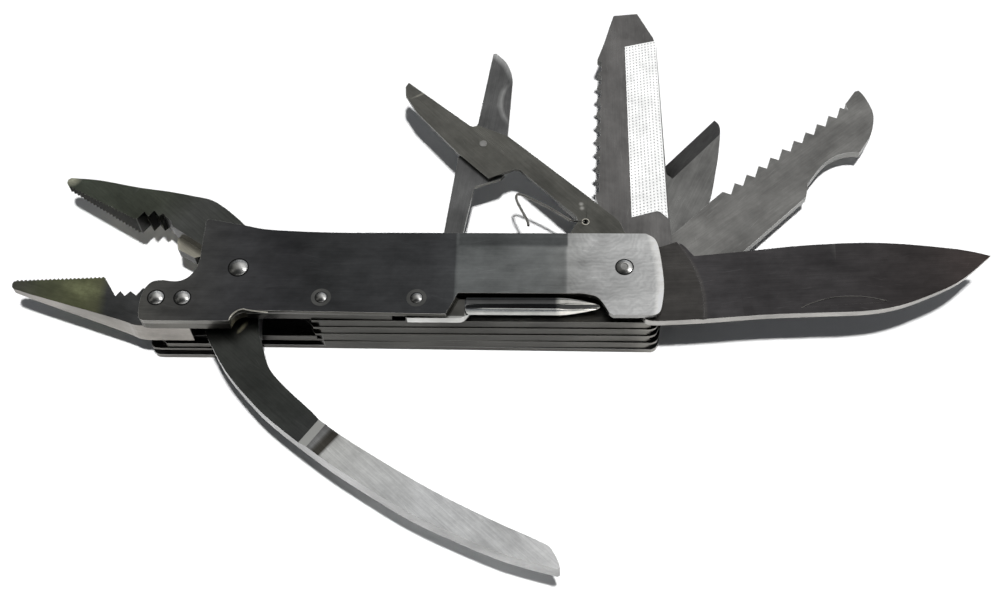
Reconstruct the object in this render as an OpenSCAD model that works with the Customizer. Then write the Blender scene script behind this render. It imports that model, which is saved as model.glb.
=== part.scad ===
// Pocket multi tool: lever-closed pliers at one end, six folding tools in five slots.
// It lies on its back cover, with its length along X and its thickness up along Z.

/* [Body] */
// Y of the straight top edge, above the tool pivot
body_top = 9.2; // [8.5:0.1:10.5]
// Depth of the straight bottom edge, below the tool pivot
body_bottom = 12.7; // [12:0.1:13.5]
// X of the tool pivot, from the middle of the body
tool_x = 52; // [51:0.1:53]
// X of the pliers pivot
pliers_x = -37.2; // [-38:0.1:-37]
// Y of the pliers pivot
pliers_y = -0.6; // [-1:0.1:0]

/* [Stack] */
// Thickness of each cover
cover_t = 1.4; // [1.2:0.1:1.6]
// Width of each tool slot
slot_t = 2.3; // [2.1:0.1:2.5]
// Thickness of each liner
liner_t = 0.8; // [0.6:0.1:1]
// Thickness of each folding tool
tool_t = 2; // [1.6:0.1:2]

/* [Pivots and rivets] */
// Radius of the tool pivot pin
tool_pin_r = 2; // [1.5:0.1:2.5]
// Radius of the pliers pivot pin
pliers_pin_r = 2.2; // [1.8:0.1:2.6]
// Radius of the two jaw rivets
jaw_rivet_r = 1.5; // [1.2:0.1:1.8]
// Radius of the two spring rivets
spring_rivet_r = 1.1; // [0.9:0.1:1.3]
// Radial clearance of a turning fit
run_gap = 0.05; // [0.02:0.01:0.08]

/* [Open positions] */
// Direction of the knife, from +X
knife_angle = 0; // [0:1:4]
// Direction of the file
file_angle = 90; // [86:1:92]
// Direction of the saw
saw_angle = 40; // [36:1:44]
// Direction of the small blade
small_angle = 66; // [62:1:70]
// Direction of the scissors
scissors_angle = 134; // [132:1:136]

/* [Teeth] */
// Number of fine teeth along each plier jaw
jaw_teeth = 22; // [16:1:32]
// Number of large teeth along the saw
saw_teeth = 11; // [8:1:13]
// Number of hook teeth along the scaler edge
scaler_teeth = 10; // [6:1:12]

/* [Hidden] */
$fn = 48;

stack_t = 2 * cover_t + 5 * slot_t + 4 * liner_t;
pitch = slot_t + liner_t;
side_gap = (slot_t - tool_t) / 2;
mate_gap = 0.02;              // between pieces that are riveted together

// Bottom of slot n (0 is next to the front cover) and of liner n (1 to 4)
function slot_z(n) = stack_t - cover_t - slot_t - n * pitch;
function liner_z(n) = slot_z(n) + slot_t;
function tool_z(n) = slot_z(n) + side_gap;

// The pliers work in a space behind the front spacer, down to the side plate
pliers_top = slot_z(0);
jaw_low = 7;
plate_low = liner_z(4) + liner_t;
jaw_mid = (pliers_top + jaw_low) / 2;
lever_low = jaw_low + 0.2;
lever_t = pliers_top - 0.2 - lever_low;

jaw_rivet_at = [[-55.3, -8.8], [-49.2, -8.8]];
spring_rivet_at = [[-17.2, -8.5], [4.7, -8.5]];
pliers_at = [pliers_x, pliers_y];
tool_at = [tool_x, 0];
jaw_tooth_h = 0.42;
spring_left = -20.6;
spring_top = -7;              // underside of the folded tools
end_x = tool_x + 8.9;         // the furthest point of the rounded right end

// Catmull-Rom curve through points, without its last point
function blend(a, b, c, d, t) = 0.5 * (2 * b + (c - a) * t
    + (2 * a - 5 * b + 4 * c - d) * t * t + (3 * b - a - 3 * c + d) * t * t * t);
function curve(p, n = 5) = [
    for (i = [0 : len(p) - 2], k = [0 : n - 1])
        blend(p[max(i - 1, 0)], p[i], p[i + 1], p[min(i + 2, len(p) - 1)], k / n)
];
// A straight edge from a to b with n thorns of height h, each after a flat
function thorn_line(a, b, n, h) = let (
    d = (b - a) / n,
    up = h * [-d.y, d.x] / norm(d)
) [for (i = [0 : n - 1], k = [0, 0.55, 0.8])
    a + (i + k) * d + (k == 0.8 ? up : [0, 0])];
// Points of an arc about c
function arc(c, r, a0, a1, n = 8) = [
    for (k = [0 : n]) c + r * [cos(a0 + (a1 - a0) * k / n), sin(a0 + (a1 - a0) * k / n)]
];
// A saw line from a to b: each tooth rises h to its left, at part p of its pitch
function tooth_line(a, b, n, h, p = 0.5) = let (
    d = (b - a) / n,
    up = h * [-d.y, d.x] / norm(d)
) [for (i = [0 : n - 1], k = [0, 1]) a + (i + k * p) * d + k * up];

module plate(points, z, t) {
    translate([0, 0, z])
    linear_extrude(t)
    polygon(points);
}

module pin(at, r, z, t) {
    translate([at.x, at.y, z])
    cylinder(r = r, h = t);
}

// A low domed head on a plane at height z
module dome(at, r, h, z) {
    sphere_r = (r * r + h * h) / (2 * h);
    translate([at.x, at.y, z])
    intersection() {
        translate([0, 0, h - sphere_r])
        sphere(r = sphere_r, $fn = 64);
        cylinder(r = 2 * r, h = 2 * h);
    }
}

module holes(places, r) {
    for (p = places)
    pin(p, r + mate_gap, -1, stack_t + 2);
}

module body_holes() {
    holes([tool_at], tool_pin_r);
    holes([pliers_at], pliers_pin_r);
    holes(jaw_rivet_at, jaw_rivet_r);
    holes(spring_rivet_at, spring_rivet_r);
}

// ---- body plates ----

right_end = curve([
    [tool_x + 5, body_top], [tool_x + 7.2, 7.6], [tool_x + 8.2, 3.8], [end_x, -4.3],
    [tool_x + 8.4, -9.7], [tool_x + 7.7, -11.9], [tool_x + 6.3, -body_bottom]
]);
left_end = concat(
    [[-34.2, 0.7 - body_bottom]],
    arc([-34.3, -15.1], 3.4, 90, 176),
    [[-56.2, -14.9]],
    curve([[-56.2, -14.9], [-58.6, -14], [-58.8, -8.3], [-57.4, -5], [-55, -4.1],
        [-51.6, -4.4], [-49.5, -3.9], [-48, -2.6], [-46.9, -0.6], [-46.5, 1.6]], 4),
    [[-46.5, 1.6], [-46.4, 12.4]]
);
top_edge = curve([[-45.9, 12.9], [-37, 11.1], [-30.5, 9.9], [-16, body_top], [0, body_top]]);
window = concat(
    [[tool_x - 2.6, -body_bottom]],
    curve([[tool_x - 3.6, -12], [tool_x - 4.8, -9.8], [tool_x - 6.4, -7.9],
        [tool_x - 9.5, -7.1], [tool_x - 12, -7.1]]),
    [[14.1, -7.1], [11.5, -body_bottom]]
);

module front_cover() {
    color("dimgray")
    difference() {
        plate(concat(top_edge, right_end, window, left_end), stack_t - cover_t, cover_t);
        body_holes();
    }
}

module back_cover() {
    color("slategray")
    difference() {
        plate(concat(top_edge, right_end, left_end), 0, cover_t);
        body_holes();
    }
}

// The spacer fills the front slot at the pliers end, flush with the cover, and runs
// on as a low strip that ends clear of the screwdriver's tang.
module front_spacer() {
    inner = curve([[-37, 11.1], [-36, 8], [-34, 3], [-33.4, -3], [-28, -6.4], [-19, -5.9]]);
    color("gray")
    difference() {
        plate(concat([[-45.9, 12.9]], inner, [[-0.9, -5.9], [-0.9, -12.3]], left_end),
            pliers_top, slot_t);
        body_holes();
    }
}

module back_spacer() {
    color("gray")
    difference() {
        plate([
            [-35.2, 0.5], [-37, 10.6], [-45.7, 12.2], [-46.1, 0], [-47.6, -3], [-55.8, -5],
            [-56, -12.6], [-54.4, -13.9], [-38.4, -13.9], [-34.6, -11.6]
        ], slot_z(4), slot_t);
        body_holes();
    }
}

// Plate behind the pliers, with a raised land that carries the jaws
module side_plate() {
    land = [
        [-34.6, -11], [-34.4, 0], [-37.4, 10.4], [-45.6, 11.8], [-46, 0], [-47.4, -3.2],
        [-55.2, -5.2], [-55.6, -12.8], [-38.9, -12.8]
    ];
    color("darkgray")
    difference() {
        union() {
            plate([
                [-19.4, -12.4], [-21.3, -9], [-24, -6.6], [-34.2, -4.6], [-34.2, 0.5],
                [-37, 11], [-46, 12.7], [-46.3, 0], [-47.8, -3], [-56.6, -5], [-56.8, -12.6],
                [-54.6, -14.6], [-37.9, -14.6], [-34.3, -12.4]
            ], plate_low, jaw_low - 0.7 - plate_low);
            plate(land, jaw_low - 0.7, 0.7);
        }
        body_holes();
    }
}

// Liners 1 to 3 start beside the pliers space. Liner 4 is as long as the covers.
module liner(n) {
    left = curve([[-19.6, -12.5], [-20.8, -10], [-20, -6], [-16, 0], [-14.5, 8.4]]);
    inset = 0.3;
    color("silver")
    difference() {
        if (n < 4)
        plate(concat(left, [[-14.5, 8.4]],
            curve([[tool_x + 4.6, 8.6], [tool_x + 7.8, 3.8], [end_x - inset, -4.3],
                [tool_x + 8.2, -9.6], [tool_x + 7.2, -12], [tool_x + 5.4, -12.6]])),
            liner_z(n), liner_t);
        else
        plate(concat(top_edge, right_end, left_end), liner_z(n), liner_t);
        body_holes();
    }
}

module liner_1() { liner(1); }
module liner_2() { liner(2); }
module liner_3() { liner(3); }
module liner_4() { liner(4); }

// Backspring: deep at its two rivets and lower under the folded tools
module backspring(n) {
    color("lightgray")
    difference() {
        plate(concat(
            curve([[-18, -12.3], [-20.2, -10.6], [spring_left, -8.4], [-19, -6.2],
                [-16.6, -5.9], [4, -5.9], [9, -6.6], [14, spring_top]], 4),
            [[tool_x, spring_top], [tool_x + 4.8, -7.9]],
            arc([tool_x + 5.1, -10.5], 1.8, 50, -90, 5)
        ), slot_z(n), slot_t);
        body_holes();
    }
}

module spring_1() { backspring(1); }
module spring_2() { backspring(2); }
module spring_3() { backspring(3); }
module spring_4() { backspring(4); }

// ---- pivots and rivets: domed in front, flush behind ----

module rivet(at, r, head_r, head_h) {
    pin(at, r, 0, stack_t + 0.01);
    dome(at, head_r, head_h, stack_t);
}

module pliers_pivot() {
    color("white")
    rivet(pliers_at, pliers_pin_r, 2.3, 0.9);
}

module jaw_rivets() {
    color("white")
    for (p = jaw_rivet_at)
    rivet(p, jaw_rivet_r, 1.9, 0.9);
}

module spring_rivets() {
    color("white")
    for (p = spring_rivet_at)
    rivet(p, spring_rivet_r, 1.35, 0.5);
}

module tool_pivot() {
    color("white")
    difference() {
        rivet(tool_at, tool_pin_r, tool_pin_r, 0.55);
        translate([tool_x, 0, stack_t + 0.35])
        cylinder(r1 = 0.7, r2 = 1.1, h = 0.5);
    }
}

// ---- pliers ----

// Wedge that thins a jaw from its full thickness at x = 0 to its tip at x = -length
module jaw_taper(length, tip_t) {
    half = (pliers_top - jaw_low) / 2;
    translate([0, 60, jaw_mid])
    rotate([90, 0, 0])
    linear_extrude(120)
    polygon([
        [140, half], [0, half], [-length, tip_t / 2], [-length - 4, tip_t / 2],
        [-length - 4, -tip_t / 2], [-length, -tip_t / 2], [0, -half], [140, -half]
    ]);
}

module fixed_jaw() {
    bite_y = -0.93;
    color("gray")
    difference() {
        intersection() {
            plate(concat(
                tooth_line([-91.6, bite_y], [-69.6, bite_y], jaw_teeth, jaw_tooth_h),
                curve([[-69.6, bite_y], [-68, -3.4], [-66.3, -6]], 3),
                [[-66.3, -6], [-65.3, -4.6], [-64.1, -6], [-62.8, -4.8], [-61.3, -6],
                [-59.9, -4], [-58.8, -4.6], [-58, -3.1], [-55.4, -2.5], [-51, -3],
                [-47.8, -4.6], [-47.8, -14.2]],
                curve([[-57.3, -14.2], [-60.6, -13.9], [-64, -12.5], [-77, -8.1],
                    [-91, -3.4]], 3),
                [[-91.7, -3], [-92.2, -2.4], [-92.3, -1.7], [-92, bite_y]]
            ), jaw_low, pliers_top - jaw_low);
            translate([-60, 0, 0])
            jaw_taper(31.5, 1.9);
        }
        body_holes();
    }
}

// The lever and the moving jaw are one forging. Its middle part is milled thinner.
lever_inner = [
    [-33.2, 5.2], [-31.3, -0.6], [-32.2, -7], [-32.2, -11.1], [-31.6, -15.3], [-30.4, -18.9],
    [-28.1, -24.5], [-23.7, -29.4], [-17.8, -34.8], [-13.1, -39.4], [-3.3, -45.9],
    [10.4, -54.1], [23.6, -60.8], [31.4, -64.3], [35.3, -66.2]
];
lever_end = [[35.3, -66.2], [36.2, -67.2], [37.4, -69.4], [37.9, -71], [37.3, -71.4]];
lever_outer = [
    [37.3, -71.4], [26.4, -68.4], [16.1, -64.2], [5.5, -59.2], [-5.4, -52.6],
    [-14.3, -46.7], [-26.2, -37.6], [-32.2, -31.9], [-38, -25.2], [-41.9, -19],
    [-44.3, -14], [-44.4, -7], [-43.3, -0.6], [-44.6, 3.6], [-46.8, 6.2]
];
jaw_notch = [
    [-47.9, 8.2], [-55.4, 13.3], [-56, 14.8], [-58.4, 17], [-59.2, 16.2], [-60.6, 17.9],
    [-61.8, 16.1], [-63, 17.7], [-64.5, 15.5]
];
module jaw_lever() {
    color("dimgray")
    difference() {
        union() {
            intersection() {
                plate(concat(
                    curve([[-83.4, 29], [-76, 27.9], [-65.2, 25], [-52, 22.2],
                        [-45.6, 20.2], [-37.7, 13.4], [-34.8, 9]], 4),
                    curve(lever_inner, 4), curve(lever_end, 2), curve(lever_outer, 4),
                    jaw_notch,
                    tooth_line([-64.9, 15.7], [-83.7, 26.8], jaw_teeth, jaw_tooth_h),
                    [[-84.3, 27.5], [-84.2, 28.5]]
                ), lever_low, lever_t);
                translate([-62, 12.4, 0])
                rotate([0, 0, -30])
                jaw_taper(26, 1.9);
            }
            // wire cutter, in the back half of the jaw
            plate([[-50.6, 14], [-54.9, 12.2], [-54.3, 9], [-50, 6.6], [-46, 7.6]],
                lever_low, 3);
        }
        // the milled face, from under the cover to a ramp up to the thick grip
        translate([0, 0, lever_low + lever_t])
        mirror([0, 0, 1])
        hull() {
            translate([0, 0, -1])
            linear_extrude(1)
            polygon([[-46, -7.5], [-28, -7.5], [-12.6, -36.7], [-20, -47.4], [-46, -40]]);
            linear_extrude(1.3)
            polygon([[-46, -8.5], [-28, -8.5], [-14.5, -35], [-22, -45.6], [-46, -40]]);
        }
        // the grip is thinner behind, where it passes below the body
        translate([-60, -90, lever_low - 1])
        linear_extrude(2.7)
        polygon([[0, 73], [30, 76], [120, 60], [120, 0], [0, 0]]);
        pin(pliers_at, pliers_pin_r + run_gap, 0, stack_t);
    }
}

// ---- folding tools: each is drawn pointing along +X from its pivot ----

module on_pivot(angle, n) {
    translate([tool_x, 0, tool_z(n)])
    rotate([0, 0, angle])
    children();
}

// Round tang at the origin, joined to an outline and bored for the pin
module tang_and(points, t = tool_t) {
    difference() {
        linear_extrude(t)
        union() {
            circle(r = 6.3);
            polygon(points);
        }
        translate([0, 0, -1])
        cylinder(r = tool_pin_r + run_gap, h = t + 2);
    }
}

// Half-moon nail nick, sunk into the upper face
module nick(at, angle, length, width) {
    r = (length * length / 4 + width * width) / (2 * width);
    translate([at.x, at.y, tool_t - 0.45])
    rotate([0, 0, angle])
    intersection() {
        translate([0, width - r, 0])
        cylinder(r = r, h = 1, $fn = 96);
        translate([-length / 2, 0, 0])
        cube([length, width + 1, 1]);
    }
}

// Full thickness up to a round shoulder at x = root, then ground thin from y0 to y1
module grind(root, y0, y1, edge_t) {
    shoulder_r = 30;
    translate([root - shoulder_r, y0 + 3, 0])
    cylinder(r = shoulder_r, h = tool_t, $fn = 120);
    translate([root - 5, 0, tool_t / 2])
    rotate([90, 0, 90])
    linear_extrude(120)
    polygon([
        [-30, -tool_t / 2], [y0, -tool_t / 2], [y1, -edge_t / 2],
        [y1 + sign(y1 - y0) * 9, -edge_t / 2], [y1 + sign(y1 - y0) * 9, edge_t / 2],
        [y1, edge_t / 2], [y0, tool_t / 2], [-30, tool_t / 2]
    ]);
}

module knife_blade() {
    color("dimgray")
    on_pivot(knife_angle, 0)
    difference() {
        intersection() {
            tang_and(concat(
                curve([[4.6, -12.9], [7.5, -13.3], [18.8, -12.6], [32.2, -11.4],
                    [44.5, -10.8], [53.8, -10.3], [61, -9], [68, -6.3], [76.1, -2],
                    [83.8, 4.9]]),
                curve([[83.8, 4.9], [77.2, 6.6], [64.4, 8.1], [53.9, 8.4], [40.7, 7.5],
                    [28, 5.9], [16.2, 4.5]]),
                [[16.2, 4.5]],
                curve([[15.3, 5.6], [13.9, 7.4], [12.5, 8], [8.3, 6.5], [3, 5.4]], 4),
                [[-6, 0], [0, -6.2]]
            ));
            grind(17.9, -12.6, 8.4, 0.35);
        }
        nick([49.6, -8.6], 5, 20, 2.3);
    }
}

scissors_pin = [51.3, -2.3];
scissors_pin_r = 0.9;
scissors_head_r = 3.2;        // broad flat head, let into the back of the thumb arm
scissors_head_t = 0.5;
arm_t = tool_t / 2 - 0.05;
scissors_at = tool_at + [
    scissors_pin.x * cos(scissors_angle) - scissors_pin.y * sin(scissors_angle),
    scissors_pin.x * sin(scissors_angle) + scissors_pin.y * cos(scissors_angle)
];

module scissors_main_arm() {
    color("gray")
    on_pivot(scissors_angle, 1)
    difference() {
        tang_and([
            [-1, -5.5], [4, -7], [12, -10.4], [22.2, -9.9], [48.8, -8.2], [56.4, -5.1],
            [56.9, -4], [57.6, -3.6], [78.6, -1.5], [78.1, 0], [75.9, 1.8], [70.2, 3.2],
            [53.1, 4.1], [42.7, 3.8], [40.4, -2.6], [39.4, -3.4], [20, -3.9], [18.6, -3.2],
            [18.2, -1.4], [17.4, 0.6], [15.4, 3.2], [10, 5.6], [1, 5.7]
        ]);
        // the thumb arm lies in the lower half, in front of the tang
        translate([26, -20, -1])
        cube([60, 40, 1 + tool_t - arm_t]);
        translate([scissors_pin.x, scissors_pin.y, 0])
        cylinder(r = scissors_pin_r + run_gap, h = tool_t + 1);
        // hole for the end of the wire spring
        translate([17.3, -4.4, 0])
        cylinder(r = 0.7, h = tool_t + 1);
    }
}

// Drawn with its blade along +Y from the rivet
module scissors_thumb_arm() {
    color("gray")
    translate([scissors_at.x, scissors_at.y, tool_z(1)])
    rotate([0, 0, 90])
    difference() {
        linear_extrude(arm_t)
        polygon(concat(
            [[3, 3.6], [6.9, 1.6], [29.2, -1.5], [29.4, -2.2]],
            curve([[29.4, -2.2], [26.4, -4.9], [22.8, -6.3], [20.4, -6.7]], 3),
            [[20.4, -6.7], [3.3, -5.9], [-8.8, -5.4], [-9.8, -4.6], [-12.2, 1.8],
            [-25.3, 3.9], [-31, 4.9]],
            arc([-31, 7.1], 2.2, 270, 90, 6),
            [[-25.3, 8.5], [-2.5, 6]]
        ));
        translate([0, 0, -1])
        cylinder(r = scissors_pin_r + run_gap, h = arm_t + 2);
        translate([0, 0, -1])
        cylinder(r = scissors_head_r + run_gap, h = 1 + scissors_head_t + run_gap);
    }
}

module scissors_rivet() {
    color("white")
    translate([scissors_at.x, scissors_at.y, tool_z(1)])
    union() {
        cylinder(r = scissors_pin_r, h = tool_t);
        cylinder(r = scissors_head_r, h = scissors_head_t);
    }
}

// Wire spring: one leg beside the tang, a bend, and a leg back to the thumb arm
module scissors_wire() {
    wire_t = 0.6;
    middle = curve([[20.2, -2.3], [25.8, -1.3], [30.2, -0.1], [33.4, 0.9], [34.5, 1.9],
        [33.5, 3], [30.6, 4.1], [27.6, 5.1], [26.3, 5.8], [25.7, 6.4]], 3);
    // unit vectors across the wire
    across = [for (i = [0 : len(middle) - 2])
        let (d = middle[i + 1] - middle[i]) [-d.y, d.x] / norm(d)];
    last = len(across) - 1;
    color("silver")
    on_pivot(scissors_angle, 1)
    translate([0, 0, tool_t - wire_t - 0.1])
    linear_extrude(wire_t)
    polygon(concat(
        [for (i = [0 : last]) middle[i] - across[i] * wire_t / 2],
        [for (i = [last : -1 : 0]) middle[i] + across[i] * wire_t / 2]
    ));
}

// File, fish scaler and flat screwdriver in one bar
module file_blade() {
    color("silver")
    on_pivot(file_angle, 2)
    difference() {
        tang_and(concat(
            [[3, -7], [9, -11.4], [13.1, -11.5], [20, -11.2], [71.3, -9.3], [74.8, -8.5],
            [83.4, -4.6], [82.7, 1.6], [72.6, 4.2], [67.4, 5.9], [66.7, 4.8]],
            thorn_line([66.2, 4.8], [24.6, 5.6], scaler_teeth, -1),
            [[22.6, 5.7], [12, 5.6], [0, 6.2]]
        ));
        // the driver's tip is ground thin from both faces
        for (side = [0, 1])
        translate([0, 0, side * tool_t])
        mirror([0, 0, side])
        translate([74, -12, 0])
        rotate([0, -4, 0])
        translate([0, 0, -2])
        cube([14, 20, 2]);
    }
}

module saw_blade() {
    color("silver")
    on_pivot(saw_angle, 3)
    tang_and(concat(
        [[4, -7], [9, -10.4], [29.7, -9.8], [47.7, -8.3], [51.6, -8], [54.8, -5.4]],
        curve([[54.8, -5.4], [60.8, -3.8], [65.1, -3.7], [68.6, -4.9], [70.9, -6.8]], 3),
        curve([[70.9, -6.8], [76.6, -4.9], [80.7, -2], [82.8, 0.6], [84.4, 4.9],
            [84.6, 7.2]], 3),
        [[84.6, 7.2], [83.6, 7.5], [79, 6.2]],
        tooth_line([78.2, 4.4], [34.2, 4.2], saw_teeth, -1.9, 0.25),
        [[33, 5.8], [20.6, 4.6], [10, 5.2], [0, 6.2]]
    ));
}

module small_blade() {
    edge_t = 0.25;
    bevel = 21;
    tip = [59.2, 0];
    color("darkgray")
    on_pivot(small_angle, 4)
    difference() {
        tang_and(concat(
            curve([[6, -7.4], [18, -9.2], [33.4, -8.5], [43.9, -6.3], [50.6, -4.5],
                [57, -2.2], tip], 4),
            [tip, [37.4, 7], [12, 6.2], [0, 6.2]]
        ));
        // chisel bevel along the straight edge, on the front face only
        translate([tip.x, tip.y, edge_t])
        rotate([0, 0, 162.2])
        rotate([bevel, 0, 0])
        translate([-10, -10, 0])
        cube([32, 30, 10]);
    }
}

// Cross-point screwdriver: flat tang in the front slot, round shaft in the window
module phillips_driver() {
    pivot = spring_rivet_at[1];
    shaft_r = 2.15;
    flute_r = 1.3;
    shaft_y = -9.75;
    shaft_z = tool_z(0) - 0.05 + shaft_r;
    color("white")
    difference() {
        union() {
            translate([0, 0, tool_z(0)])
            linear_extrude(tool_t)
            difference() {
                union() {
                    translate(pivot)
                    circle(r = 2.8);
                    polygon([[2.6, -12.9], [2.2, -12.5], [pivot.x - 2.8, -8.5], [pivot.x, -6.4],
                        [15.7, -7.9], [17, -7.9], [17, -11.7], [14.8, -12.9]]);
                }
                translate(pivot)
                circle(r = spring_rivet_r + run_gap);
            }
            translate([15.8, shaft_y, shaft_z])
            rotate([0, 90, 0])
            rotate_extrude()
            polygon(concat(
                [[0, 0], [shaft_r - 0.3, 0], [shaft_r, 0.4]],
                curve([[shaft_r, 21.4], [1.98, 24], [1.5, 27], [0.9, 29.6], [0.4, 30.5]], 3),
                [[0.4, 30.5], [0, 30.7]]
            ));
        }
        // four flutes at the point, running out along the shaft
        for (a = [30 : 90 : 300])
        translate([36.5, shaft_y, shaft_z])
        rotate([a, 0, 0])
        translate([0, 0, shaft_r + flute_r])
        rotate([0, 100, 0])
        cylinder(r = flute_r, h = 13);
    }
}

front_cover();
back_cover();
front_spacer();
back_spacer();
side_plate();
liner_1();
liner_2();
liner_3();
liner_4();
spring_1();
spring_2();
spring_3();
spring_4();
fixed_jaw();
jaw_lever();
pliers_pivot();
jaw_rivets();
spring_rivets();
tool_pivot();
knife_blade();
scissors_main_arm();
scissors_thumb_arm();
scissors_rivet();
scissors_wire();
file_blade();
saw_blade();
small_blade();
phillips_driver();
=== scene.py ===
import math

import bmesh
import bpy
from mathutils import Matrix, Vector


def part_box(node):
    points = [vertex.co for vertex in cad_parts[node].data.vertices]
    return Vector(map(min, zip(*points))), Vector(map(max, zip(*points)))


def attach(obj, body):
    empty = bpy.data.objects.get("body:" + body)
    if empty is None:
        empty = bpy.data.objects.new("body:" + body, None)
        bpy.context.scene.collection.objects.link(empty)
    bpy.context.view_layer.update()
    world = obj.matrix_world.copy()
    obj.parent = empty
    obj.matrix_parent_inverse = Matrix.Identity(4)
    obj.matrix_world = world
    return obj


MM = 0.001

# ---- the tool's own directions and places, in mm and degrees ----
TOOL_PIVOT = (52.0, 0.0)
FILE_ANGLE, SAW_ANGLE, SMALL_ANGLE, SCISSORS_ANGLE = 90, 40, 66, 134
LEVER_ANGLE, FIXED_JAW_ANGLE = -42, -17
JAW_RIVETS = ((-55.3, -8.8), (-49.2, -8.8))
SPRING_RIVETS = ((-17.2, -8.5), (4.7, -8.5))
PLIERS_PIVOT = (-37.2, -0.6)
WIRE_HOLE = (17.3, -4.4)                 # along and across the scissors' main arm
NOTCH_CENTRE, NOTCH_RADIUS = (-34.3, -15.1), 3.42

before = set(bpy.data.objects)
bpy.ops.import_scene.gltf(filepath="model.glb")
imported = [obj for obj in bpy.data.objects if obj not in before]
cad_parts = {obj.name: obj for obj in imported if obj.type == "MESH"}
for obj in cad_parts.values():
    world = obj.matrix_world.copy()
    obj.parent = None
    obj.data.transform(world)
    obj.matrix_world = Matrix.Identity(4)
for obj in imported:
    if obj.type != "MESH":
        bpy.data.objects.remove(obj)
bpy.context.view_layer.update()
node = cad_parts


# ---- material kit ----

class Tree:
    """A node material built up by name, with steel's usual layers."""

    def __init__(self, name):
        self.mat = bpy.data.materials.new(name)
        self.mat.use_nodes = True
        self.nodes = self.mat.node_tree.nodes
        self.links = self.mat.node_tree.links
        self.shader = self.nodes["Principled BSDF"]
        self.coords = self.nodes.new("ShaderNodeTexCoord").outputs["Object"]

    def add(self, kind, **settings):
        made = self.nodes.new("ShaderNode" + kind)
        for key, value in settings.items():
            setattr(made, key, value)
        return made

    def link(self, out, into):
        self.links.new(out, into)

    def mapped(self, angle, scale):
        """Object coordinates turned so that x runs along the grain, then stretched."""
        turn = self.add("Mapping")
        turn.inputs["Rotation"].default_value = (0, 0, -math.radians(angle))
        self.link(self.coords, turn.inputs["Vector"])
        stretch = self.add("Mapping")
        stretch.inputs["Scale"].default_value = scale
        self.link(turn.outputs["Vector"], stretch.inputs["Vector"])
        return stretch.outputs["Vector"]

    def noise(self, vector, scale, detail=4.0, rough=0.55):
        made = self.add("TexNoise")
        made.inputs["Scale"].default_value = scale
        made.inputs["Detail"].default_value = detail
        made.inputs["Roughness"].default_value = rough
        self.link(vector, made.inputs["Vector"])
        return made.outputs["Fac"]

    def ramp(self, fac, stops):
        made = self.add("ValToRGB")
        bar = made.color_ramp
        while len(bar.elements) < len(stops):
            bar.elements.new(0.5)
        for element, (place, colour) in zip(bar.elements, stops):
            element.position = place
            element.color = (*colour, 1) if len(colour) == 3 else colour
        self.link(fac, made.inputs["Fac"])
        return made.outputs["Color"]

    def grey(self, fac, low, high):
        return self.ramp(fac, [(low[0], (low[1],) * 3), (high[0], (high[1],) * 3)])

    def mix(self, fac, a, b, how="MIX"):
        made = self.add("Mix", data_type="RGBA", blend_type=how)
        for value, name in ((fac, "Factor"), (a, "A"), (b, "B")):
            sockets = [s for s in made.inputs if s.name == name and s.enabled]
            if isinstance(value, (int, float)):
                sockets[0].default_value = value
            elif isinstance(value, tuple):
                sockets[0].default_value = (*value, 1)
            else:
                self.link(value, sockets[0])
        return [s for s in made.outputs if s.enabled][0]

    def math(self, how, a, b=0.0):
        made = self.add("Math", operation=how)
        for value, socket in ((a, made.inputs[0]), (b, made.inputs[1])):
            if isinstance(value, (int, float)):
                socket.default_value = value
            else:
                self.link(value, socket)
        return made.outputs[0]

    def axis(self, which):
        split = self.add("SeparateXYZ")
        self.link(self.coords, split.inputs["Vector"])
        return split.outputs[which]


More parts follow.
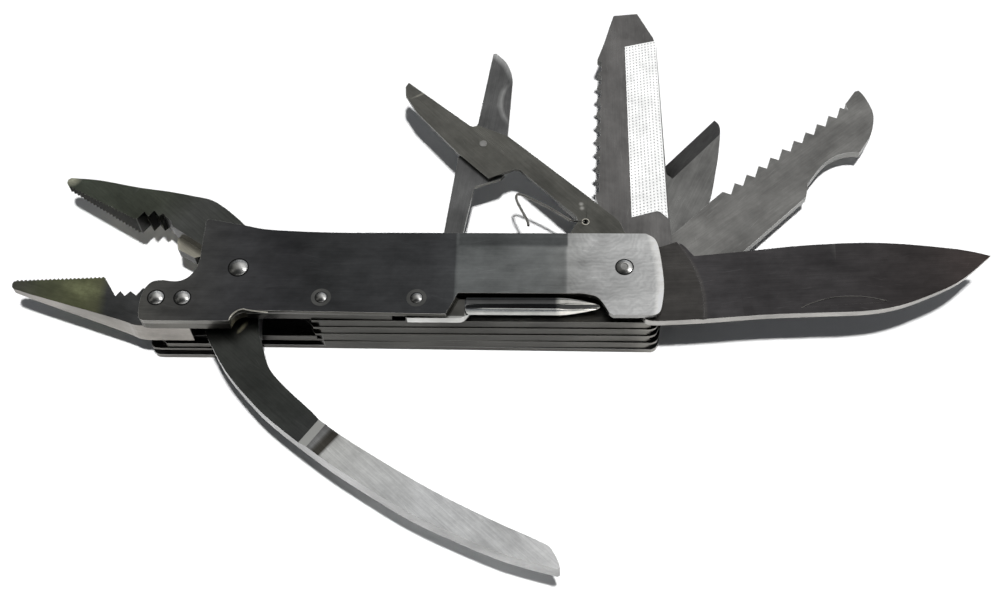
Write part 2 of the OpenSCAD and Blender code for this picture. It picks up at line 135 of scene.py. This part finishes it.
def steel(name, colour, angle=0, rough=(0.22, 0.42), grain=1.0, blotch=0.3, side=None,
          rim=None, tint=None, tint_at=(0.52, 0.7), scratch=0.4, zones=None, seed=0.0,
          metal=1.0):
    """Worked steel: brushed grain along `angle`, faint hairlines, stains and soft wear.

    Flat faces take `colour` or the zones. Cut sides take `side`, a colour or a function
    of the tree, and the broken edges between them take `rim`.
    """
    t = Tree(name)
    grain_fac = t.noise(t.mapped(angle, (90, 2600, 2600)), 1.0, 3.0, 0.7)
    fine_fac = t.noise(t.mapped(angle + 2, (260, 7000, 7000)), 1.0, 2.0, 0.6)
    cloud_fac = t.noise(t.mapped(angle, (60 + seed, 130, 130)), 1.0, 5.0, 0.6)
    stain_fac = t.noise(t.mapped(angle + 40, (210 + seed, 240, 240)), 1.0, 6.0, 0.68)

    base = zones(t) if zones else colour
    cloud = t.grey(cloud_fac, (0.32, 1.0 - blotch), (0.68, 1.0 + blotch))
    toned = t.mix(1.0, base, cloud, "MULTIPLY")
    speckle = t.grey(stain_fac, (0.3, 0.86), (0.7, 1.12))
    toned = t.mix(1.0, toned, speckle, "MULTIPLY")
    lines = t.grey(grain_fac, (0.34, 1.0 - 0.16 * grain), (0.66, 1.0 + 0.14 * grain))
    toned = t.mix(1.0, toned, lines, "MULTIPLY")
    if tint:
        spots = t.grey(stain_fac, (tint_at[0], 0.0), (tint_at[1], 0.8))
        toned = t.mix(spots, toned, tint)

    # hairline scratches: short thin streaks in three directions
    marks = None
    for turn, stretch, low in ((9, 4600, 0.735), (-16, 4200, 0.745), (58, 4400, 0.765)):
        streak = t.noise(t.mapped(angle + turn, (120 + seed, stretch, stretch)), 1.0, 1.0, 0.4)
        line = t.grey(streak, (low, 0.0), (low + 0.05, 1.0))
        marks = line if marks is None else t.mix(1.0, marks, line, "ADD")
    faded = t.mix(1.0, marks, (scratch * 0.5,) * 3, "MULTIPLY")
    toned = t.mix(faded, toned, t.mix(1.0, toned, (2.2, 2.2, 2.2), "MULTIPLY"))

    if side:
        split = t.add("SeparateXYZ")
        t.link(t.add("TexCoord").outputs["Normal"], split.inputs["Vector"])
        upright = t.math("ABSOLUTE", split.outputs["Z"])
        edge = side(t) if callable(side) else side
        edge = t.mix(1.0, edge, t.grey(cloud_fac, (0.32, 0.72), (0.68, 1.2)), "MULTIPLY")
        edge = t.mix(1.0, edge, lines, "MULTIPLY")
        flat = t.grey(upright, (0.90, 0.0), (0.985, 1.0))
        if rim:
            broken = t.grey(upright, (0.18, 0.0), (0.35, 1.0))
            edge = t.mix(broken, edge, rim)
            # worn edges scatter light instead of mirroring the room
            worn = t.mix(flat, broken, (0.0, 0.0, 0.0))
            t.link(t.grey(worn, (0.0, 1.0), (1.0, 0.45)), t.shader.inputs["Metallic"])
        toned = t.mix(flat, edge, toned)
    t.link(toned, t.shader.inputs["Base Color"])

    shine = t.grey(cloud_fac, (0.3, rough[1]), (0.7, rough[0]))
    shine = t.mix(0.35, shine, t.grey(fine_fac, (0.3, rough[0]), (0.7, rough[1])))
    t.link(shine, t.shader.inputs["Roughness"])

    height = t.mix(0.45, t.grey(grain_fac, (0.0, 0.0), (1.0, 1.0)),
                   t.grey(fine_fac, (0.0, 0.0), (1.0, 1.0)))
    height = t.mix(faded, height, (0.0, 0.0, 0.0))
    bump = t.add("Bump")
    bump.inputs["Strength"].default_value = 0.1 * grain
    bump.inputs["Distance"].default_value = 0.00004
    t.link(height, bump.inputs["Height"])
    t.link(bump.outputs["Normal"], t.shader.inputs["Normal"])
    if not rim:
        t.shader.inputs["Metallic"].default_value = metal
    return t.mat


def ramp_along_x(t, start, length, stops, wobble=0.0016):
    """Colours along X, from `start` metres, with a slightly uneven boundary."""
    uneven = t.math("SUBTRACT", t.noise(t.mapped(0, (90, 90, 90)), 1.0, 3.0), 0.5)
    drift = t.math("MULTIPLY", uneven, wobble)
    place = t.math("SUBTRACT", t.math("ADD", t.axis("X"), drift), start)
    return t.ramp(t.math("MULTIPLY", place, 1 / length), stops)


def mask(t, value, low, high):
    """0 below `low` and 1 above `high`, in metres."""
    place = t.math("MULTIPLY", t.math("SUBTRACT", value, low), 1 / (high - low))
    return t.grey(place, (0.0, 0.0), (1.0, 1.0))


def mask_under(t, value, low, high):
    """1 below `low` and 0 above `high`, in metres."""
    return mask(t, t.math("MULTIPLY", value, -1.0), -high, -low)


def distance(t, x, y):
    """Metres from the point x, y, seen from above."""
    dx = t.math("POWER", t.math("SUBTRACT", t.axis("X"), x), 2.0)
    dy = t.math("POWER", t.math("SUBTRACT", t.axis("Y"), y), 2.0)
    return t.math("SQRT", t.math("ADD", dx, dy))


def streak(t, x, y, angle, length, width):
    """1 in the middle of an oval at x, y in metres along `angle`, fading to 0 at its edge."""
    c, s = math.cos(math.radians(angle)), math.sin(math.radians(angle))
    dx, dy = t.math("SUBTRACT", t.axis("X"), x), t.math("SUBTRACT", t.axis("Y"), y)
    along = t.math("ADD", t.math("MULTIPLY", dx, c / length), t.math("MULTIPLY", dy, s / length))
    across = t.math("SUBTRACT", t.math("MULTIPLY", dy, c / width),
                    t.math("MULTIPLY", dx, s / width))
    far = t.math("SQRT", t.math("ADD", t.math("POWER", along, 2.0),
                                t.math("POWER", across, 2.0)))
    return t.grey(far, (0.25, 1.0), (1.0, 0.0))


def spot(t, x, y, radius):
    """1 in the middle of a round spot at x, y in metres, fading to 0 at its radius."""
    return streak(t, x, y, 0, radius, radius)


def fray(t, value, amount, scale=900.0):
    """A mask broken up by noise, so that it doesn't end in a smooth curve."""
    rough = t.grey(t.noise(t.mapped(0, (scale,) * 3), 1.0, 4.0, 0.7), (0.3, 1.0 - amount),
                   (0.7, 1.0))
    return t.mix(1.0, value, rough, "MULTIPLY")


def cover_zones(t):
    """Dark left part, paler panel with a dark strip above, and the bright ground bolster with a
    painted highlight on its right edge.
    """
    base = ramp_along_x(t, -0.060, 0.122, [
        (0.000, (0.100, 0.098, 0.090)), (0.180, (0.062, 0.062, 0.064)),
        (0.270, (0.042, 0.042, 0.044)), (0.360, (0.046, 0.047, 0.048)),
        (0.560, (0.060, 0.061, 0.063)), (0.598, (0.072, 0.074, 0.076)),
        (0.603, (0.160, 0.168, 0.166)), (0.770, (0.196, 0.204, 0.200)),
        (0.8075, (0.220, 0.226, 0.220)), (0.8125, (0.420, 0.422, 0.410)),
        (0.860, (0.560, 0.560, 0.550)), (1.000, (0.660, 0.660, 0.650)),
    ], 0.0009)
    strip = t.math("MULTIPLY", mask(t, t.axis("X"), 0.0134, 0.0140),
                   mask(t, t.axis("Y"), 0.0052, 0.0060))
    strip = t.math("MULTIPLY", strip, mask_under(t, t.axis("X"), 0.0388, 0.0392))
    base = t.mix(t.math("MULTIPLY", strip, 0.85), base, (0.090, 0.094, 0.094))
    # fine arcs left by grinding the bolster
    move = t.add("Mapping")
    move.inputs["Location"].default_value = (-0.047, -0.010, 0)
    t.link(t.coords, move.inputs["Vector"])
    arcs = t.add("TexWave", wave_type="RINGS", rings_direction="Z")
    for key, value in (("Scale", 240.0), ("Distortion", 16.0), ("Detail", 5.0)):
        arcs.inputs[key].default_value = value
    t.link(move.outputs["Vector"], arcs.inputs["Vector"])
    ground = t.mix(1.0, base, t.grey(arcs.outputs["Fac"], (0.1, 0.94), (0.9, 1.04)),
                   "MULTIPLY")
    base = t.mix(mask(t, t.axis("X"), 0.0388, 0.0396), base, ground)
    # painted highlight down the bolster's rounded right edge
    bow = t.math("MULTIPLY", t.math("POWER", t.math("ADD", t.axis("Y"), 0.0043), 2.0), 10.5)
    right = mask(t, t.math("ADD", t.axis("X"), bow), 0.0588, 0.0601)
    return t.mix(right, base, (0.98, 0.97, 0.94))


def jaw_zones(t):
    """Fixed jaw: olive and gold towards the tip, plain dark steel by the cover."""
    base = ramp_along_x(t, -0.092, 0.044, [
        (0.00, (0.095, 0.094, 0.078)), (0.16, (0.084, 0.090, 0.057)),
        (0.40, (0.112, 0.118, 0.064)), (0.49, (0.105, 0.108, 0.064)),
        (0.55, (0.054, 0.055, 0.054)), (1.00, (0.068, 0.069, 0.069))], 0.004)
    worn = fray(t, streak(t, -0.0745, -0.0040, -17, 0.0062, 0.0030), 0.8)
    return t.mix(worn, base, (0.200, 0.215, 0.115))


def lever_zones(t):
    """Dark jaw and neck, then the bright brushed grip past the ramp, whose face is painted in
    shade.
    """
    along = t.math("SUBTRACT", t.math("MULTIPLY", t.axis("X"), 0.78),
                   t.math("MULTIPLY", t.axis("Y"), 0.62))
    place = t.math("MULTIPLY", t.math("ADD", along, 0.0850), 1 / 0.160)
    base = t.ramp(place, [
        (0.000, (0.066, 0.074, 0.058)), (0.160, (0.066, 0.072, 0.056)),
        (0.215, (0.080, 0.082, 0.076)), (0.330, (0.062, 0.064, 0.058)),
        (0.560, (0.050, 0.053, 0.049)), (0.598, (0.052, 0.054, 0.052)),
        # the dark band from 0.626 to 0.637 is painted shade on the ramp's face
        (0.622, (0.230, 0.230, 0.226)), (0.626, (0.060, 0.056, 0.048)),
        (0.637, (0.060, 0.056, 0.048)), (0.641, (0.560, 0.560, 0.540)),
        (0.800, (0.700, 0.705, 0.700)), (1.000, (0.760, 0.760, 0.750)),
    ])
    base = t.mix(fray(t, spot(t, -0.0832, 0.0286, 0.0026), 0.6), base, (0.50, 0.50, 0.38))
    # painted highlight: a gold glint on the lever beside the cover's notch
    base = t.mix(streak(t, -0.0356, -0.0135, 58, 0.0022, 0.0007), base, (0.95, 0.88, 0.62))
    # the top of the wire cutter, low in the jaw, is bare ground steel
    low = mask_under(t, t.axis("Z"), 0.0104, 0.0108)
    cutter = t.math("MULTIPLY", low, mask(t, t.axis("Y"), 0.004, 0.005))
    return t.mix(cutter, base, (0.42, 0.40, 0.33))


def lever_sides(t):
    """The bite's sides are painted near-black as shade; the outer side of the neck and grip is
    plain grey.
    """
    return t.mix(mask(t, t.axis("Y"), -0.002, 0.004), (0.300, 0.300, 0.295),
                 (0.018, 0.018, 0.016))


def plate_sides(t):
    """Edges of the plates: dark in the middle, lighter at the left end, brightest at the tool
    pivot.
    """
    return ramp_along_x(t, -0.060, 0.122, [
        (0.00, (0.110, 0.106, 0.095)), (0.16, (0.110, 0.106, 0.095)),
        (0.24, (0.038, 0.036, 0.032)), (0.43, (0.046, 0.045, 0.040)),
        (0.60, (0.036, 0.035, 0.031)), (0.78, (0.054, 0.052, 0.047)),
        (0.93, (0.086, 0.083, 0.074)), (1.00, (0.260, 0.250, 0.225))])


def cover_sides(t):
    """Edges of the covers, lighter than the plates' and brightest at the tool pivot."""
    return ramp_along_x(t, -0.060, 0.122, [
        (0.00, (0.200, 0.195, 0.180)), (0.20, (0.180, 0.175, 0.160)),
        (0.26, (0.070, 0.068, 0.060)), (0.60, (0.075, 0.073, 0.065)),
        (1.00, (0.300, 0.300, 0.290))])


def driver_zones(t):
    """Dark tang, with painted light: lit lower edges, a shaded top to the shaft, a bright point.
    """
    up = t.math("MULTIPLY", t.math("ADD", t.axis("Y"), 0.0119), 1 / 0.0043)
    # painted light and shade across the round shaft: lit below, shaded above, a thin highlight
    # at the top
    shaft = t.ramp(up, [
        (0.00, (0.42, 0.42, 0.40)), (0.11, (0.34, 0.34, 0.33)), (0.19, (0.120, 0.120, 0.116)),
        (0.45, (0.110, 0.110, 0.108)), (0.62, (0.055, 0.055, 0.054)),
        (0.90, (0.042, 0.042, 0.042)), (0.95, (0.28, 0.28, 0.27))])
    # painted highlight on the point
    point = t.math("MULTIPLY", mask(t, t.axis("X"), 0.0362, 0.0376), 0.85)
    tang = mask_under(t, t.axis("X"), 0.0156, 0.0158)
    base = t.mix(point, shaft, (0.80, 0.78, 0.72))
    edge = mask_under(t, t.axis("Y"), -0.0125, -0.0122)
    return t.mix(tang, base, t.mix(edge, (0.085, 0.083, 0.076), (0.50, 0.50, 0.48)))


def knife_zones(t):
    """The ground blade is darker than the tang, with a round shoulder between them."""
    far = distance(t, 0.0399, -0.0096)
    blade = mask(t, far, 0.0296, 0.0303)
    line = t.math("MULTIPLY", blade, mask_under(t, far, 0.0304, 0.0309))
    ground = ramp_along_x(t, 0.070, 0.066, [
        (0.00, (0.074, 0.070, 0.072)), (0.45, (0.064, 0.060, 0.061)),
        (0.80, (0.058, 0.051, 0.050)), (1.00, (0.075, 0.060, 0.056))], 0.006)
    base = t.mix(blade, (0.072, 0.068, 0.064), ground)
    return t.mix(t.math("MULTIPLY", line, 0.6), base, (0.110, 0.104, 0.098))


def arm_zones(t):
    """Main arm: two small punch dimples, and a pale rubbed line across the tip."""
    base = t.mix(fray(t, streak(t, 0.0013, 0.0535, 28, 0.0026, 0.0004), 0.5),
                 (0.132, 0.130, 0.116), (0.36, 0.35, 0.30))
    for x, y in ((0.0421, 0.0206), (0.0423, 0.0194)):
        base = t.mix(spot(t, x, y, 0.0007), base, (0.42, 0.41, 0.38))
    return base


def thumb_zones(t):
    """Thumb arm: a painted highlight in an arc along the hollow-ground bevel, and a bright bevel
    round the tip.
    """
    far = distance(t, 0.0330, 0.0520)
    # painted highlight along the hollow-ground bevel
    arc = t.math("MULTIPLY", mask(t, far, 0.0103, 0.0110),
                 mask_under(t, far, 0.0110, 0.0121))
    arc = t.math("MULTIPLY", arc, mask(t, t.axis("Y"), 0.0440, 0.0480))
    arc = t.math("MULTIPLY", arc, mask_under(t, t.axis("Y"), 0.0555, 0.0585))
    base = t.mix(t.math("MULTIPLY", arc, 0.75), (0.140, 0.140, 0.138), (0.42, 0.42, 0.41))
    tip = mask(t, distance(t, 0.0107, 0.0560), 0.0132, 0.0146)
    tip = t.math("MULTIPLY", tip, mask(t, t.axis("Y"), 0.0570, 0.0610))
    return t.mix(t.math("MULTIPLY", tip, 0.8), base, (0.52, 0.52, 0.51))


def rivet_painted_light(t):
    """Domes painted by their normals: a painted highlight on the right, painted shade on the
    lower left.
    """
    split = t.add("SeparateXYZ")
    t.link(t.add("TexCoord").outputs["Normal"], split.inputs["Vector"])
    turned = t.math("ADD", t.math("MULTIPLY", split.outputs["X"], 0.85),
                    t.math("MULTIPLY", split.outputs["Y"], 0.35))
    return t.ramp(t.math("ADD", turned, 0.5), [
        (0.0, (0.07, 0.068, 0.062)), (0.32, (0.20, 0.197, 0.185)),
        (0.52, (0.38, 0.375, 0.36)), (0.72, (0.85, 0.84, 0.81))])


RIM = (0.42, 0.42, 0.40)
cover_mat = steel("cover_steel_front", (0.14, 0.14, 0.14), 0, (0.26, 0.42), 0.45, 0.25,
                  side=cover_sides, rim=(0.46, 0.45, 0.42), zones=cover_zones, scratch=0.4)
back_mat = steel("cover_steel_back", (0.20, 0.20, 0.20), 0, (0.26, 0.42), 0.5, 0.22,
                 side=plate_sides, rim=RIM, seed=3)
plate_mat = steel("plate_steel", (0.055, 0.054, 0.050), 0, (0.24, 0.42), 0.8, 0.3,
                  side=plate_sides, rim=(0.20, 0.195, 0.18), seed=5)
spring_mat = steel("spring_steel", (0.06, 0.06, 0.055), 0, (0.24, 0.42), 0.8, 0.35,
                   side=plate_sides, rim=(0.13, 0.125, 0.11), seed=8)
jaw_mat = steel("jaw_steel", (0.105, 0.105, 0.088), FIXED_JAW_ANGLE, (0.26, 0.42), 0.5, 0.3,
                side=(0.235, 0.220, 0.200), rim=(0.10, 0.095, 0.08), zones=jaw_zones,
                scratch=0.4, seed=2)
lever_mat = steel("lever_steel", (0.36, 0.36, 0.355), LEVER_ANGLE, (0.26, 0.42), 0.7, 0.2,
                  side=lever_sides, rim=(0.38, 0.38, 0.36), tint=(0.13, 0.125, 0.06),
                  tint_at=(0.66, 0.8), zones=lever_zones, scratch=0.4, seed=4)
knife_mat = steel("knife_steel", (0.046, 0.041, 0.038), 3, (0.24, 0.36), 0.6, 0.25,
                  side=(0.36, 0.35, 0.33), rim=(0.30, 0.29, 0.27), zones=knife_zones,
                  scratch=0.9, seed=6)
scissors_mat = steel("scissors_steel", (0.132, 0.130, 0.116), SCISSORS_ANGLE, (0.24, 0.4),
                     0.6, 0.25, side=(0.05, 0.05, 0.046), rim=(0.22, 0.22, 0.20),
                     zones=arm_zones, scratch=0.6, seed=7)
thumb_mat = steel("thumb_steel", (0.140, 0.140, 0.138), 83, (0.22, 0.4), 0.6, 0.25,
                  side=(0.12, 0.12, 0.11), rim=(0.30, 0.30, 0.28), zones=thumb_zones, seed=9)
file_mat = steel("file_steel", (0.190, 0.184, 0.178), FILE_ANGLE, (0.24, 0.4), 0.5, 0.2,
                 side=(0.070, 0.070, 0.066), rim=(0.15, 0.15, 0.145), scratch=0.5, seed=10)
saw_mat = steel("saw_steel", (0.250, 0.246, 0.234), SAW_ANGLE, (0.26, 0.42), 0.6, 0.25,
                side=(0.20, 0.20, 0.19), rim=(0.45, 0.45, 0.43), scratch=0.5, seed=11)
small_mat = steel("small_blade_steel", (0.230, 0.228, 0.218), SMALL_ANGLE, (0.24, 0.4), 0.6,
                  0.25, side=(0.085, 0.080, 0.078), scratch=0.5, seed=12)
rivet_mat = steel("rivet_steel", (0.46, 0.455, 0.44), 20, (0.26, 0.40), 0.3, 0.3,
                  zones=rivet_painted_light, scratch=0.3, seed=13)
wire_mat = steel("wire_steel", (0.20, 0.195, 0.18), SCISSORS_ANGLE, (0.16, 0.28), 0.3, 0.3,
                 seed=16)
# bright steel for the painted highlight round the cover's notch, and the ring round the wire
# hole
bright_mat = steel("bright_rim_steel", (0.70, 0.67, 0.58), 0, (0.25, 0.35), 0.3, 0.25,
                   seed=19)
ring_mat = steel("ground_ring_steel", (0.105, 0.105, 0.100), 0, (0.3, 0.4), 0.6, 0.35,
                 seed=17)
# near black, for the painted shadow in the rings round the rivet heads
rivet_shadow_mat = steel("rivet_painted_shadow", (0.012, 0.012, 0.012), 0, (0.4, 0.5), 0.6, 0.3, seed=18)
chrome_mat = steel("driver_chrome", (0.62, 0.615, 0.60), 0, (0.10, 0.20), 0.15, 0.25,
                   zones=driver_zones, scratch=0.2, seed=14)


def cut_zones(t):
    """Painted highlight on the crests and painted shade in the valleys, by height above the
    bar's face.
    """
    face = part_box("file_blade")[1][2]
    return t.mix(mask(t, t.axis("Z"), face + 0.00002, face + 0.00007), (0.10, 0.10, 0.10),
                 (0.93, 0.93, 0.92))


cut_mat = steel("file_cut_steel", (0.80, 0.80, 0.79), FILE_ANGLE, (0.28, 0.40), 0.1, 0.10,
                zones=cut_zones, scratch=0.0, seed=15, metal=0.3)


# ---- CAD nodes: materials, and softly broken edges ----

def finish_node(name, material, edge=0.12):
    o = node[name]
    o.data.materials.clear()
    o.data.materials.append(material)
    if edge:
        weld = o.modifiers.new("weld", "WELD")
        weld.merge_threshold = 0.000002
        soft = o.modifiers.new("edge", "BEVEL")
        soft.width = edge * MM
        soft.segments = 2
        soft.limit_method = "ANGLE"
        soft.angle_limit = math.radians(38)
        soft.harden_normals = True


finish_node("front_cover", cover_mat, 0.3)
finish_node("back_cover", back_mat, 0.25)
for name in ("front_spacer", "back_spacer", "side_plate"):
    finish_node(name, plate_mat, 0.12)
for i in (1, 2, 3, 4):
    finish_node(f"liner_{i}", plate_mat, 0.1)
    finish_node(f"spring_{i}", spring_mat, 0.2)
finish_node("fixed_jaw", jaw_mat, 0.05)
finish_node("jaw_lever", lever_mat, 0.07)
for name in ("pliers_pivot", "jaw_rivets", "spring_rivets", "tool_pivot", "scissors_rivet"):
    finish_node(name, rivet_mat, 0.05)
finish_node("knife_blade", knife_mat, 0.06)
finish_node("scissors_main_arm", scissors_mat, 0.08)
finish_node("scissors_thumb_arm", thumb_mat, 0.08)
finish_node("scissors_wire", wire_mat, 0.2)
finish_node("file_blade", file_mat, 0.1)
finish_node("saw_blade", saw_mat, 0.08)
finish_node("small_blade", small_mat, 0.08)
finish_node("phillips_driver", chrome_mat, 0.1)


# ---- added detail: file teeth, rings round the rivets with painted shadow, the wire's end, a painted highlight round the notch ----

def mesh_piece(name, bm, body, material, smooth=False):
    bmesh.ops.recalc_face_normals(bm, faces=bm.faces[:])
    mesh = bpy.data.meshes.new(name)
    bm.to_mesh(mesh)
    bm.free()
    mesh.materials.append(material)
    for face in mesh.polygons:
        face.use_smooth = smooth
    o = bpy.data.objects.new(name, mesh)
    bpy.context.collection.objects.link(o)
    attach(o, body)
    return o


def from_tool(x, y, angle, z):
    """Metres in the shared frame, from mm along a tool that points at `angle`."""
    c, s = math.cos(math.radians(angle)), math.sin(math.radians(angle))
    return Vector((TOOL_PIVOT[0] + x * c - y * s, TOOL_PIVOT[1] + x * s + y * c, z)) * MM


def file_teeth():
    """A field of small four-sided pits between raised crests, out to the right edge."""
    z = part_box("file_blade")[1][2] / MM
    rows, columns = 58, 10
    grid = {}
    bm = bmesh.new()

    def place(i, k, height):
        across, up = k / columns, i / rows
        root = 18.8 + (2.0 * across / 0.75 if across < 0.75 else 2.0 - 9.0 * (across - 0.75))
        tip = 71.6 + 2.0 * across
        left, right = -2.2 + 1.0 * up, -10.85 + 1.75 * up
        slant = 0.35 * math.sin(math.pi * up) * (across - 0.5)
        along = root + (tip - root) * up + slant
        return bm.verts.new(from_tool(along, left + (right - left) * across, FILE_ANGLE,
                                      z + height))

    for i in range(rows + 1):
        for k in range(columns + 1):
            grid[i, k] = place(i, k, 0.13)
    for i in range(rows):
        for k in range(columns):
            top = place(i + 0.5, k + 0.5, 0.01)
            corners = [grid[i, k], grid[i + 1, k], grid[i + 1, k + 1], grid[i, k + 1]]
            for a, b in zip(corners, corners[1:] + corners[:1]):
                bm.faces.new((a, b, top))
    rim = ([grid[i, 0] for i in range(rows)] + [grid[rows, k] for k in range(columns)]
           + [grid[i, columns] for i in range(rows, 0, -1)]
           + [grid[0, k] for k in range(columns, 0, -1)])
    low = [bm.verts.new(v.co - Vector((0, 0, 0.18 * MM))) for v in rim]
    for n in range(len(rim)):
        m = (n + 1) % len(rim)
        bm.faces.new((rim[n], low[n], low[m], rim[m]))
    bm.faces.new(low)
    mesh_piece("file_teeth", bm, "file", cut_mat)


def ring(name, at, inner, outer, z0, z1, body, material):
    """A flat ring, drawn as a closed band of quads."""
    bm = bmesh.new()
    count = 48
    loops = []
    for radius, z in ((inner, z0), (outer, z0), (outer, z1), (inner, z1)):
        loops.append([bm.verts.new(Vector((
            at[0] + radius * math.cos(2 * math.pi * n / count),
            at[1] + radius * math.sin(2 * math.pi * n / count), z)) * MM)
            for n in range(count)])
    for a in range(4):
        b = (a + 1) % 4
        for n in range(count):
            m = (n + 1) % count
            bm.faces.new((loops[a][n], loops[a][m], loops[b][m], loops[b][n]))
    mesh_piece(name, bm, body, material)


def tube(name, points, radius, body, material):
    """A round wire swept along points, closed at both ends."""
    bm = bmesh.new()
    count = 10
    loops = []
    for n, p in enumerate(points):
        before, after = points[max(n - 1, 0)], points[min(n + 1, len(points) - 1)]
        along = (after - before).normalized()
        side = along.cross(Vector((0, 0, 1))).normalized()
        if side.length < 0.5:
            side = Vector((1, 0, 0))
        up = side.cross(along).normalized()
        loops.append([bm.verts.new(p + radius * MM * (
            side * math.cos(2 * math.pi * k / count) + up * math.sin(2 * math.pi * k / count)))
            for k in range(count)])
    for a, b in zip(loops, loops[1:]):
        for k in range(count):
            m = (k + 1) % count
            bm.faces.new((a[k], a[m], b[m], b[k]))
    bm.faces.new(loops[0])
    bm.faces.new(loops[-1])
    mesh_piece(name, bm, body, material, smooth=True)


file_teeth()
cover_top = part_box("front_cover")[1][2] / MM
# the thin near-black rings are painted shadow where the rivet domes meet the cover
for label, at, head in (("jaw_a", JAW_RIVETS[0], 1.9), ("jaw_b", JAW_RIVETS[1], 1.9),
                        ("pliers", PLIERS_PIVOT, 2.3), ("tool", TOOL_PIVOT, 2.0)):
    ring(f"{label}_rivet_ring", at, head - 0.12, head + 0.14, cover_top - 0.02,
         cover_top + 0.09, "body", rivet_shadow_mat)
for label, at in zip(("spring_a", "spring_b"), SPRING_RIVETS):
    ring(f"{label}_rivet_ring", at, 1.28, 1.42, cover_top - 0.02, cover_top + 0.04, "body",
         rivet_shadow_mat)
    ring(f"{label}_ground_ring", at, 1.46, 2.3, cover_top - 0.02, cover_top + 0.02, "body",
         ring_mat)
arm_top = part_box("scissors_main_arm")[1][2] / MM
tube("scissors_wire_end", [from_tool(x, y, SCISSORS_ANGLE, arm_top + up) for x, y, up in (
    (20.5, -2.25, -0.5), (19.8, -2.5, -0.3), (19.0, -3.0, -0.15), (18.2, -3.7, -0.14),
    (17.6, -4.2, -0.18), (*WIRE_HOLE, -0.5))], 0.24, "scissors", wire_mat)
hole = from_tool(*WIRE_HOLE, SCISSORS_ANGLE, arm_top) / MM
ring("wire_hole_ring", hole, 0.72, 0.90, arm_top - 0.02, arm_top + 0.05, "scissors",
     bright_mat)
# painted highlight: a bright tube along the edge of the cover's quarter-round notch
highlight_path = [(NOTCH_CENTRE[0] + NOTCH_RADIUS * math.cos(math.radians(a)),
         NOTCH_CENTRE[1] + NOTCH_RADIUS * math.sin(math.radians(a)))
        for a in range(172, 88, -6)]
highlight_path += [(-34.1, -11.85), (-33.2, -12.05), (-31.5, -12.3), (-29.0, -12.55)]
tube("notch_painted_highlight", [Vector((x, y, cover_top - 0.04)) * MM for x, y in highlight_path],
     0.16, "body", bright_mat)


# ---- stage: pale floor, soft light, camera ----

def floor_material():
    t = Tree("pale_floor")
    tone = t.ramp(t.noise(t.mapped(0, (6, 6, 6)), 1.0), [
        (0.3, (0.84, 0.84, 0.84)), (0.7, (0.88, 0.88, 0.88))])
    t.link(tone, t.shader.inputs["Base Color"])
    t.shader.inputs["Roughness"].default_value = 0.75
    return t.mat


def make_floor():
    mesh = bpy.data.meshes.new("floor")
    bm = bmesh.new()
    bmesh.ops.create_grid(bm, x_segments=4, y_segments=4, size=3.0)
    bm.to_mesh(mesh)
    bm.free()
    o = bpy.data.objects.new("floor", mesh)
    o.location.z = -0.00005
    o.data.materials.append(floor_material())
    bpy.context.collection.objects.link(o)


def area_light(name, place, target, size, power, colour=(1, 1, 1)):
    data = bpy.data.lights.new(name, "AREA")
    data.shape = "RECTANGLE"
    data.size, data.size_y = size
    data.energy = power
    data.color = colour
    o = bpy.data.objects.new(name, data)
    o.location = place
    o.rotation_euler = (Vector(target) - Vector(place)).to_track_quat("-Z", "Y").to_euler()
    bpy.context.collection.objects.link(o)
    return o


def make_camera():
    """Close above the spring side, tilted and slightly turned."""
    tilt, turn, roll = (math.radians(a) for a in (31.0, 5.5, -4.4))
    target = Vector((23.7, -7.5, 17.5)) * MM
    away = 342.3 * MM
    data = bpy.data.cameras.new("camera")
    data.sensor_width = 36.0
    data.lens = 54.22
    data.clip_start = 0.01
    o = bpy.data.objects.new("camera", data)
    look = (Matrix.Rotation(turn, 4, "Z") @ Matrix.Rotation(tilt, 4, "X")
            @ Matrix.Rotation(roll, 4, "Z"))
    o.matrix_world = Matrix.Translation(target + look.to_3x3() @ Vector((0, 0, away))) @ look
    bpy.context.collection.objects.link(o)
    bpy.context.scene.camera = o


make_floor()
make_camera()
centre = (0.02, 0.0, 0.01)
key_light = area_light("key", (0.18, -0.27, 1.60), centre, (0.10, 0.10), 34.0)
key_light.visible_glossy = False
# cards that only the steel sees: a broad one over the far side, and a narrow bright one
for name, place, size, power in (
        ("card_far", (-0.05, 0.72, 1.10), (2.4, 1.5), 7.0),
        ("card_right", (0.85, 0.10, 0.85), (0.25, 0.6), 2.6),
        ("card_front", (0.20, -1.10, 0.68), (2.2, 0.35), 3.4),
        ("card_left", (-0.95, -0.10, 0.60), (0.3, 0.8), 1.0)):
    card = area_light(name, place, centre, size, power)
    card.visible_diffuse = False
world = bpy.data.worlds.new("studio")
world.use_nodes = True
tree = world.node_tree
ray = tree.nodes.new("ShaderNodeTexCoord")
split = tree.nodes.new("ShaderNodeSeparateXYZ")
sky = tree.nodes.new("ShaderNodeValToRGB")
tree.links.new(ray.outputs["Generated"], split.inputs["Vector"])
tree.links.new(split.outputs["Z"], sky.inputs["Fac"])
tree.links.new(sky.outputs["Color"], tree.nodes["Background"].inputs["Color"])
sky.color_ramp.elements.new(0.5)
sky.color_ramp.elements.new(0.5)
for element, (place, level) in zip(sky.color_ramp.elements, (
        (0.0, 0.62), (0.08, 0.55), (0.30, 0.09), (1.0, 0.06))):
    element.position = place
    element.color = (level * 0.95, level, level * 1.07, 1)
bpy.context.scene.world = world
bpy.context.scene.view_settings.view_transform = "Standard"
